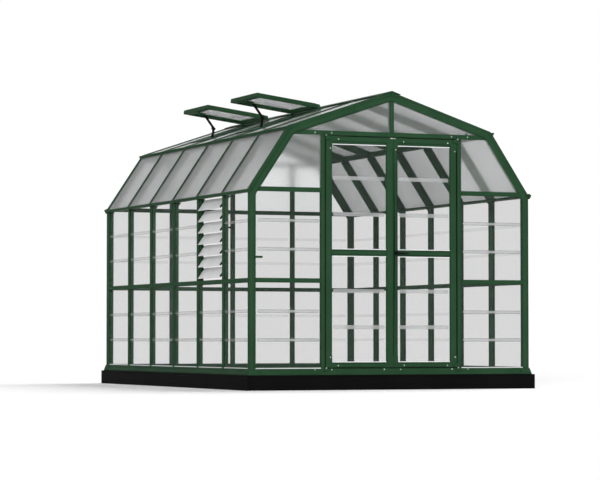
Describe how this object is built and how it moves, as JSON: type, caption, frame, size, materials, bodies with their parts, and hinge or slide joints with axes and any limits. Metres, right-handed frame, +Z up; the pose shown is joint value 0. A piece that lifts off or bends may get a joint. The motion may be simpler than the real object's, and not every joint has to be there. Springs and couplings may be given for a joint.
{
  "type": "greenhouse",
  "caption": "Free-standing barn-roofed greenhouse on a black plinth, with a green frame, ribbed clear walls, frosted roof, double door, roof vents and a louvre window.",
  "frame": {"origin": "middle of the plinth's underside, on the ground", "axes": "X across the front to the right, Y from the front to the back, Z up"},
  "size_m": [2.668, 3.938, 2.6133],
  "materials": {
    "frame_green": "dark green, satin, soft-edged profiles",
    "plinth_black": "near-black, matt",
    "clear_pane": "clear sheet with pressed ribs",
    "frosted_pane": "frosted, light-spreading sheet",
    "steel": "plain zinc-plated steel",
    "black_fittings": "black, satin",
    "louvre_glazing": "light grey translucent blades with black end clips"
  },
  "bodies": {
    "frame": {"base_rails": "plinth_black", "sill_rails": "frame_green", "sill_corners": "frame_green", "corner_posts": "frame_green", "door_posts": "frame_green", "wall_posts": "frame_green", "post_capitals": "frame_green", "mid_rails": "frame_green", "wall_cover_strips": "frame_green", "eave_rails": "frame_green", "eave_purlins": "frame_green", "eave_gutters": "frame_green", "knee_headers": "frame_green", "gable_posts": "frame_green", "gable_rafters": "frame_green", "roof_rafters": "frame_green", "rafter_caps": "frame_green", "knee_purlins": "frame_green", "knee_trims": "frame_green", "ridge_beam": "frame_green", "ridge_cap": "frame_green", "vent_kerbs": "frame_green", "vent_stay_rails": "frame_green", "door_stop": "frame_green", "louvre_jambs": "frame_green", "front_wall_panes": "clear_pane", "back_wall_panes": "clear_pane", "left_wall_panes": "clear_pane", "right_wall_panes": "clear_pane", "gable_panes": "frosted_pane", "left_roof_panes": "frosted_pane", "right_roof_panes": "frosted_pane", "door_pivots": "steel", "vent_hinges": "steel", "frame_screws": "steel", "door_catch": "black_fittings"},
    "left_door": {"left_leaf_frame": "frame_green", "left_leaf_panes": "clear_pane", "left_leaf_fittings": "frame_green"},
    "right_door": {"right_leaf_frame": "frame_green", "right_leaf_panes": "clear_pane", "right_leaf_fittings": "frame_green", "handle_roses": "black_fittings"},
    "handle": {"door_handle": "black_fittings"},
    "front_vent": {"front_vent_frame": "frame_green", "front_vent_pane": "frosted_pane"},
    "front_vent_upper_arm": {"front_vent_upper_arm": "black_fittings"},
    "front_vent_lower_arm": {"front_vent_lower_arm": "black_fittings"},
    "rear_vent": {"rear_vent_frame": "frame_green", "rear_vent_pane": "frosted_pane"},
    "rear_vent_upper_arm": {"rear_vent_upper_arm": "black_fittings"},
    "rear_vent_lower_arm": {"rear_vent_lower_arm": "black_fittings"},
    "louvre_blade_1": {"louvre_blade_1": "louvre_glazing"},
    "louvre_blade_2": {"louvre_blade_2": "louvre_glazing"},
    "louvre_blade_3": {"louvre_blade_3": "louvre_glazing"},
    "louvre_blade_4": {"louvre_blade_4": "louvre_glazing"},
    "louvre_blade_5": {"louvre_blade_5": "louvre_glazing"},
    "louvre_blade_6": {"louvre_blade_6": "louvre_glazing"},
    "louvre_blade_7": {"louvre_blade_7": "louvre_glazing"},
    "louvre_link": {"louvre_link_bar": "black_fittings"}
  },
  "joints": [
    {"name": "left_door_swing", "type": "hinge", "parent": "frame", "child": "left_door", "pos_m": [-0.613, -1.941, 1.164], "axis": [0, 0, 1], "range_deg": [-175, 0]},
    {"name": "right_door_swing", "type": "hinge", "parent": "frame", "child": "right_door", "pos_m": [0.613, -1.941, 1.164], "axis": [0, 0, 1], "range_deg": [0, 165]},
    {"name": "handle_turn", "type": "hinge", "parent": "right_door", "child": "handle", "pos_m": [0.035, -1.905, 1.1565], "axis": [0, 1, 0], "range_deg": [0, 60], "stiffness_Nm_per_rad": 0.6, "springref_deg": -28.65},
    {"name": "front_vent_tilt", "type": "hinge", "parent": "frame", "child": "front_vent", "pos_m": [-0.13884, -0.3175, 2.51499], "axis": [0, 1, 0], "range_deg": [-26.3, 0]},
    {"name": "front_vent_upper_arm_turn", "type": "hinge", "parent": "front_vent", "child": "front_vent_upper_arm", "pos_m": [-0.65147, -0.3175, 2.55252], "axis": [0, 1, 0], "range_deg": [-34.43, 0]},
    {"name": "front_vent_lower_arm_turn", "type": "hinge", "parent": "frame", "child": "front_vent_lower_arm", "pos_m": [-0.57506, -0.3175, 2.28409], "axis": [0, 1, 0], "range_deg": [0, 55.57]},
    {"name": "rear_vent_tilt", "type": "hinge", "parent": "frame", "child": "rear_vent", "pos_m": [-0.13884, 0.9525, 2.51499], "axis": [0, 1, 0], "range_deg": [-26.3, 0]},
    {"name": "rear_vent_upper_arm_turn", "type": "hinge", "parent": "rear_vent", "child": "rear_vent_upper_arm", "pos_m": [-0.65147, 0.9525, 2.55252], "axis": [0, 1, 0], "range_deg": [-34.43, 0]},
    {"name": "rear_vent_lower_arm_turn", "type": "hinge", "parent": "frame", "child": "rear_vent_lower_arm", "pos_m": [-0.57506, 0.9525, 2.28409], "axis": [0, 1, 0], "range_deg": [0, 55.57]},
    {"name": "louvre_blade_1_turn", "type": "hinge", "parent": "frame", "child": "louvre_blade_1", "pos_m": [-1.27, -0.9525, 1.001], "axis": [0, 1, 0], "range_deg": [-23, 43]},
    {"name": "louvre_blade_2_turn", "type": "hinge", "parent": "frame", "child": "louvre_blade_2", "pos_m": [-1.27, -0.9525, 1.1], "axis": [0, 1, 0], "range_deg": [-23, 43]},
    {"name": "louvre_blade_3_turn", "type": "hinge", "parent": "frame", "child": "louvre_blade_3", "pos_m": [-1.27, -0.9525, 1.199], "axis": [0, 1, 0], "range_deg": [-23, 43]},
    {"name": "louvre_blade_4_turn", "type": "hinge", "parent": "frame", "child": "louvre_blade_4", "pos_m": [-1.27, -0.9525, 1.298], "axis": [0, 1, 0], "range_deg": [-23, 43]},
    {"name": "louvre_blade_5_turn", "type": "hinge", "parent": "frame", "child": "louvre_blade_5", "pos_m": [-1.27, -0.9525, 1.397], "axis": [0, 1, 0], "range_deg": [-23, 43]},
    {"name": "louvre_blade_6_turn", "type": "hinge", "parent": "frame", "child": "louvre_blade_6", "pos_m": [-1.27, -0.9525, 1.496], "axis": [0, 1, 0], "range_deg": [-23, 43]},
    {"name": "louvre_blade_7_turn", "type": "hinge", "parent": "frame", "child": "louvre_blade_7", "pos_m": [-1.27, -0.9525, 1.595], "axis": [0, 1, 0], "range_deg": [-23, 43]},
    {"name": "louvre_link_turn", "type": "hinge", "parent": "louvre_blade_1", "child": "louvre_link", "pos_m": [-1.24476, -1.2245, 1.03704], "axis": [0, 1, 0], "range_deg": [-43, 23]}
  ],
  "couplings": [
    {"joint": "front_vent_upper_arm_turn", "follows": "front_vent_tilt", "ratio": 1.3072},
    {"joint": "front_vent_lower_arm_turn", "follows": "front_vent_tilt", "ratio": -2.1111},
    {"joint": "rear_vent_upper_arm_turn", "follows": "rear_vent_tilt", "ratio": 1.3072},
    {"joint": "rear_vent_lower_arm_turn", "follows": "rear_vent_tilt", "ratio": -2.1111},
    {"joint": "louvre_blade_2_turn", "follows": "louvre_blade_1_turn", "ratio": 1},
    {"joint": "louvre_blade_3_turn", "follows": "louvre_blade_1_turn", "ratio": 1},
    {"joint": "louvre_blade_4_turn", "follows": "louvre_blade_1_turn", "ratio": 1},
    {"joint": "louvre_blade_5_turn", "follows": "louvre_blade_1_turn", "ratio": 1},
    {"joint": "louvre_blade_6_turn", "follows": "louvre_blade_1_turn", "ratio": 1},
    {"joint": "louvre_blade_7_turn", "follows": "louvre_blade_1_turn", "ratio": 1},
    {"joint": "louvre_link_turn", "follows": "louvre_blade_1_turn", "ratio": -1}
  ]
}
